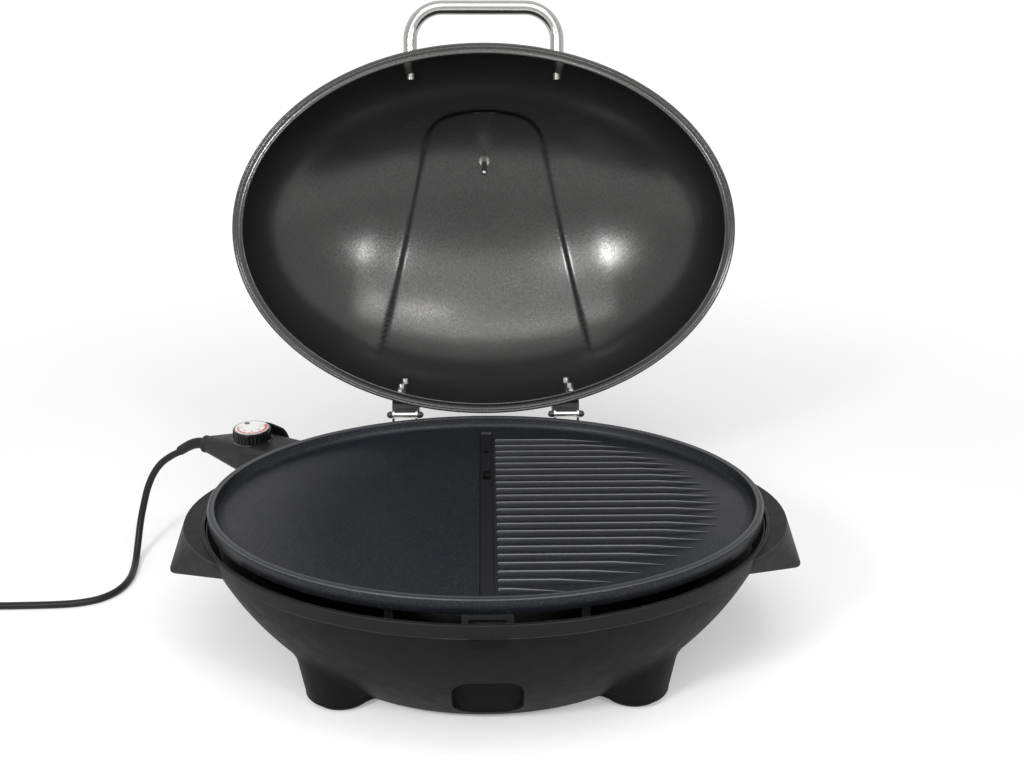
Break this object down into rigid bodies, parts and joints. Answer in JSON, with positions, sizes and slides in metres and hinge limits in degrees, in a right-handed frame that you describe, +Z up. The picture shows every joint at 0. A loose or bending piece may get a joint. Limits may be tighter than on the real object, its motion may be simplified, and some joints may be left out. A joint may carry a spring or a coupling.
{
  "type": "electric tabletop grill with hinged lid",
  "caption": "Oval electric table grill: part-smooth, part-ribbed plate in a footed base, hinged dome lid with tube handle and thermometer, plug-in dial control on a corded lead.",
  "frame": {"origin": "on the surface it stands on, under the middle of the oval base", "axes": "+Z up, +X to the right along the oval's long axis, +Y to the back where the lid is hinged"},
  "size_m": [0.9134, 0.5552, 0.5341],
  "materials": {
    "base_plastic": "matte charcoal moulding with a fine grain",
    "guard_plastic": "matte black moulding",
    "foot_rubber": "matte black rubber",
    "reflector_steel": "bright sheet steel",
    "tray_aluminium": "plain pressed aluminium",
    "post_steel": "bright steel",
    "rest_enamel": "black enamel",
    "plate_coating": "cast aluminium under a black non-stick coating with a faint sparkle",
    "element_steel": "heat-darkened steel sheath",
    "pin_steel": "nickel-plated steel",
    "ceramic": "pale steatite",
    "hinge_steel": "polished stainless steel",
    "cap_black": "black",
    "lid_enamel": "satin charcoal enamel with a fine metallic flake",
    "handle_steel": "polished stainless tube",
    "gauge_steel": "bright steel",
    "gauge_white": "white printed disc",
    "gauge_glass": "clear",
    "needle_red": "red",
    "control_plastic": "matte dark grey moulding",
    "relief_rubber": "soft black moulding",
    "ring_gloss": "gloss black",
    "probe_steel": "plain steel",
    "contact_brass": "plain brass",
    "knob_gloss": "gloss black, ribbed",
    "dial_print": "silver-white disc with red marks",
    "shaft_steel": "plain steel",
    "cord_black": "matte black",
    "plug_black": "matte black moulding",
    "plug_metal": "nickel-plated brass"
  },
  "bodies": {
    "base": {"base_bowl": "base_plastic", "base_rim": "base_plastic", "foot_pads": "foot_rubber", "socket_guard": "guard_plastic", "front_catch": "base_plastic", "base_screws": "post_steel", "heat_reflector": "reflector_steel", "drip_tray": "tray_aluminium", "plate_posts": "post_steel", "plate_rests": "rest_enamel", "grill_plate": "plate_coating", "heating_element": "element_steel", "contact_pins": "pin_steel", "element_clips": "post_steel", "terminal_block": "ceramic", "hinge_brackets": "hinge_steel", "hinge_pins": "hinge_steel", "pin_caps": "cap_black", "bracket_screws": "hinge_steel"},
    "lid": {"lid_shell": "lid_enamel", "lid_skirt": "lid_enamel", "lid_rim": "lid_enamel", "lid_arch": "lid_enamel", "lid_hinge_arms": "cap_black", "hinge_barrels": "hinge_steel", "hinge_bolts": "hinge_steel", "lid_handle": "handle_steel", "handle_ferrules": "handle_steel", "handle_screws": "handle_steel", "gauge_case": "gauge_steel", "gauge_bezel": "gauge_steel", "gauge_face": "gauge_white", "gauge_lens": "gauge_glass", "gauge_stem": "gauge_steel", "gauge_nut": "gauge_steel"},
    "needle": {"gauge_needle": "needle_red"},
    "control": {"control_lower": "control_plastic", "control_upper": "control_plastic", "control_ring": "ring_gloss", "cord_collar": "control_plastic", "strain_relief": "relief_rubber", "probe_rod": "probe_steel", "contact_sleeves": "contact_brass", "power_cord": "cord_black", "cord_coil": "cord_black", "cord_tail": "cord_black", "cord_tie": "cord_black", "plug_body": "plug_black", "plug_face": "plug_black", "plug_pins": "plug_metal"},
    "dial": {"dial_knob": "knob_gloss", "dial_face": "dial_print", "dial_shaft": "shaft_steel"}
  },
  "joints": [
    {"name": "lid_hinge", "type": "hinge", "parent": "base", "child": "lid", "pos_m": [0, 0.183, 0.1465], "axis": [1, 0, 0], "range_deg": [0, 105]},
    {"name": "gauge_needle_turn", "type": "hinge", "parent": "lid", "child": "needle", "pos_m": [0, 0.3576, 0.36682], "axis": [0, -0.9984, -0.0568], "range_deg": [0, 250]},
    {"name": "control_unplug", "type": "slide", "parent": "base", "child": "control", "axis": [-0.9272, 0.3746, 0], "range_m": [0, 0.085]},
    {"name": "dial_turn", "type": "hinge", "parent": "control", "child": "dial", "pos_m": [-0.228, 0.145, 0.14], "axis": [0, 0, -1], "range_deg": [0, 270]}
  ]
}
